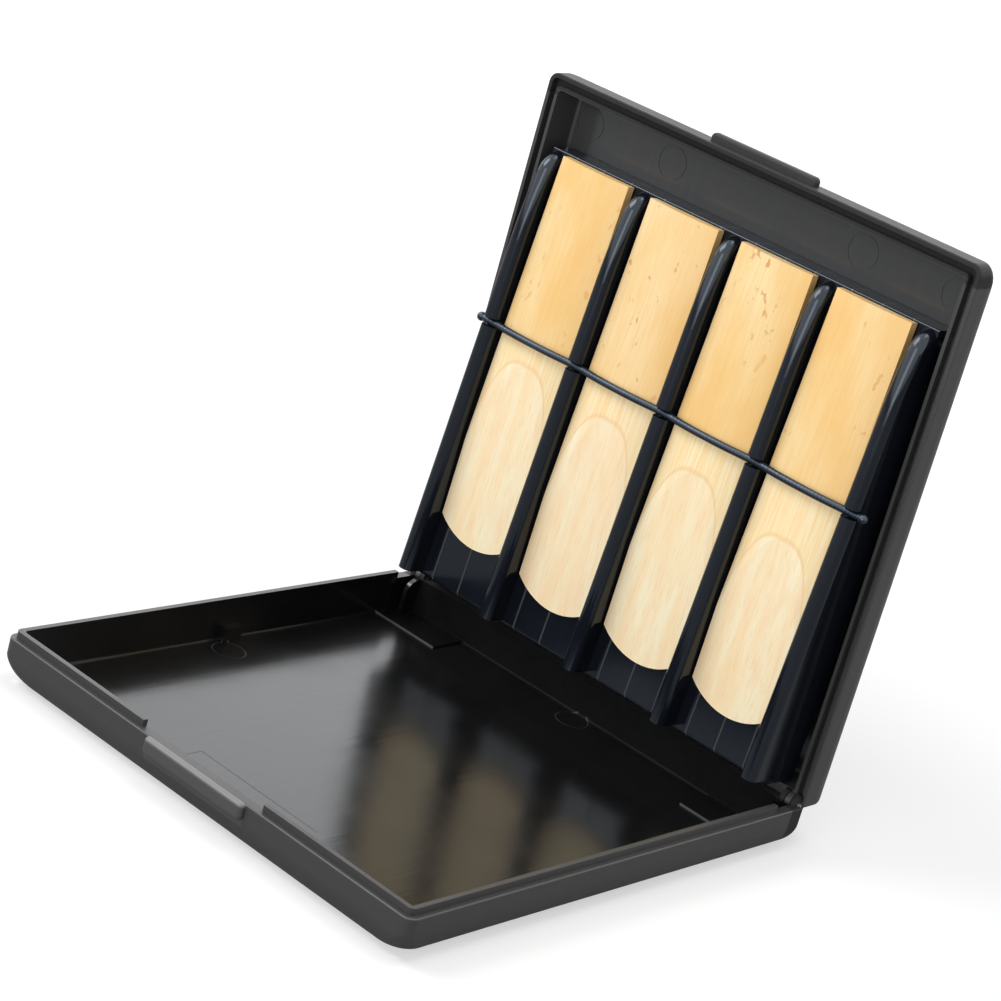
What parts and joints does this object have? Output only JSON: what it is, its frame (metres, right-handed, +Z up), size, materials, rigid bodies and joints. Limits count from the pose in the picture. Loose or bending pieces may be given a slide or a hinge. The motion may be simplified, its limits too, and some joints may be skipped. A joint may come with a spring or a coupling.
{
  "type": "reed case",
  "caption": "Slim hinged case for single reeds, standing open: a flat tray, and a lid with a ramped and railed reed holder under an elastic cord.",
  "frame": {"origin": "centre of the lower shell's flat outer face, on the surface the case stands on", "axes": "+X along the hinge to the right of the user, +Y from the thumb lip to the hinge, +Z up"},
  "size_m": [0.088, 0.0991, 0.0996],
  "materials": {
    "shell": "satin gloss",
    "holder": "satin gloss",
    "elastic": "semi-matte",
    "cane": "satin bark, planed blade",
    "pin": "drawn wire"
  },
  "bodies": {
    "tray": {"lower_shell": "shell", "hinge_pin_left": "pin", "hinge_pin_right": "pin"},
    "lid": {"upper_shell": "shell"},
    "holder": {"reed_holder": "holder", "elastic_cord": "elastic"},
    "first_reed": {"reed_1": "cane"},
    "second_reed": {"reed_2": "cane"},
    "third_reed": {"reed_3": "cane"},
    "fourth_reed": {"reed_4": "cane"}
  },
  "joints": [
    {"name": "lid_hinge", "type": "hinge", "parent": "tray", "child": "lid", "pos_m": [0, 0.04541, 0.0074], "axis": [1, 0, 0], "range_deg": [0, 90]},
    {"name": "holder_tilt", "type": "hinge", "parent": "lid", "child": "holder", "pos_m": [0, 0.04881, 0.0839], "axis": [1, 0, 0], "range_deg": [0, 3.8]},
    {"name": "reed_1_slide", "type": "slide", "parent": "holder", "child": "first_reed", "axis": [0, 0.0937, 0.9956], "range_m": [-0.005, 0.0088]},
    {"name": "reed_2_slide", "type": "slide", "parent": "holder", "child": "second_reed", "axis": [0, 0.0937, 0.9956], "range_m": [-0.005, 0.0088]},
    {"name": "reed_3_slide", "type": "slide", "parent": "holder", "child": "third_reed", "axis": [0, 0.0937, 0.9956], "range_m": [-0.005, 0.0088]},
    {"name": "reed_4_slide", "type": "slide", "parent": "holder", "child": "fourth_reed", "axis": [0, 0.0937, 0.9956], "range_m": [-0.005, 0.0088]}
  ],
  "couplings": [
    {"joint": "holder_tilt", "follows": "lid_hinge", "ratio": 0.042222}
  ]
}
